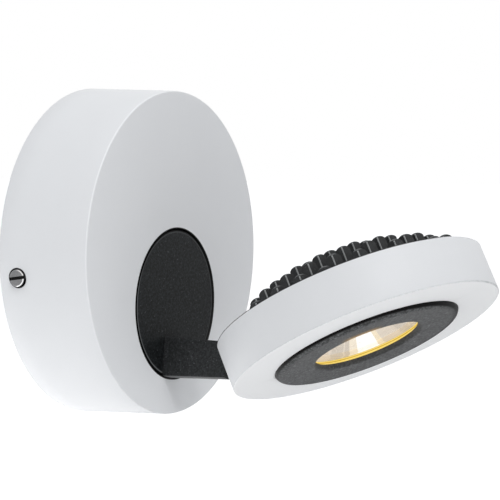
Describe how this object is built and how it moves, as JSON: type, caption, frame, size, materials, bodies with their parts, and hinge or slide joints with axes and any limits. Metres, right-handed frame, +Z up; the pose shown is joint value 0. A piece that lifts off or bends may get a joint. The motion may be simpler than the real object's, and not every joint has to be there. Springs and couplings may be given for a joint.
{
  "type": "pivoting spotlight wall light",
  "caption": "Round wall canopy with a recessed turntable and flat bar arm carrying a round tilting spotlight head with a finned heat sink and a recessed LED lens.",
  "frame": {"origin": "centre of the canopy's back face, on the wall", "axes": "+Y into the wall, -Y out into the room, +Z up, +X to the right seen from the room"},
  "size_m": [0.1226, 0.1597, 0.1224],
  "materials": {
    "zinc_steel": "zinc plated",
    "white_coat": "satin white powder coat",
    "screw_nickel": "nickel plated",
    "black_rubber": "soft black",
    "block_nylon": "natural nylon",
    "brass_screw": "bright",
    "driver_case": "matt off-white",
    "zinc_screw": "zinc plated",
    "brown_wire": "brown PVC",
    "grey_lead": "white PVC",
    "anthracite_coat": "fine-textured anthracite powder coat",
    "nylon_white": "natural nylon",
    "anthracite_cast": "anthracite coated casting",
    "friction_fibre": "dark fibre",
    "bezel_grey": "grey textured powder coat",
    "clear_glass": "clear",
    "silicone": "translucent silicone",
    "reflector_metal": "bright faceted",
    "holder_white": "white heat-proof plastic",
    "board_white": "white solder mask",
    "phosphor": "yellow phosphor under clear resin"
  },
  "bodies": {
    "wall_base": {"wall_bracket": "zinc_steel", "canopy_shell": "white_coat", "canopy_screw_left": "screw_nickel", "canopy_screw_right": "screw_nickel", "cable_grommet": "black_rubber", "terminal_block": "block_nylon", "terminal_screw_live": "brass_screw", "terminal_screw_middle": "brass_screw", "terminal_screw_neutral": "brass_screw", "earth_screw": "brass_screw", "earth_washer": "brass_screw", "led_driver": "driver_case", "driver_screw_left": "zinc_screw", "driver_screw_right": "zinc_screw", "mains_lead": "brown_wire", "driver_lead": "grey_lead", "stop_pin": "zinc_screw"},
    "turntable": {"turntable_disc": "anthracite_coat", "hub_nipple": "zinc_screw", "glide_washer": "nylon_white", "stop_washer": "zinc_screw", "wave_washer": "zinc_screw", "hub_nut": "zinc_screw", "arm_bar": "anthracite_coat", "arm_screw_left": "zinc_screw", "arm_screw_right": "zinc_screw", "arm_lead": "grey_lead"},
    "head": {"head_ring": "white_coat", "heat_sink": "anthracite_cast", "ring_screw_top": "zinc_screw", "ring_screw_left": "zinc_screw", "ring_screw_right": "zinc_screw", "pivot_pin": "zinc_screw", "pivot_nut": "zinc_screw", "friction_washer_left": "friction_fibre", "friction_washer_right": "friction_fibre", "bezel": "bezel_grey", "cover_glass": "clear_glass", "glass_gasket": "silicone", "reflector": "reflector_metal", "led_holder": "holder_white", "led_board": "board_white", "led_emitter": "phosphor", "holder_screw_left": "zinc_screw", "holder_screw_right": "zinc_screw", "lead_grommet": "black_rubber", "led_lead": "grey_lead"}
  },
  "joints": [
    {"name": "turntable_turn", "type": "hinge", "parent": "wall_base", "child": "turntable", "pos_m": [0, -0.036, -0.019], "axis": [0, 1, 0], "range_deg": [-178, 162]},
    {"name": "head_tilt", "type": "hinge", "parent": "turntable", "child": "head", "pos_m": [-0.00253, -0.0715, -0.03702], "axis": [0.9903, 0, -0.1392], "range_deg": [-62.7, 27.3]}
  ]
}
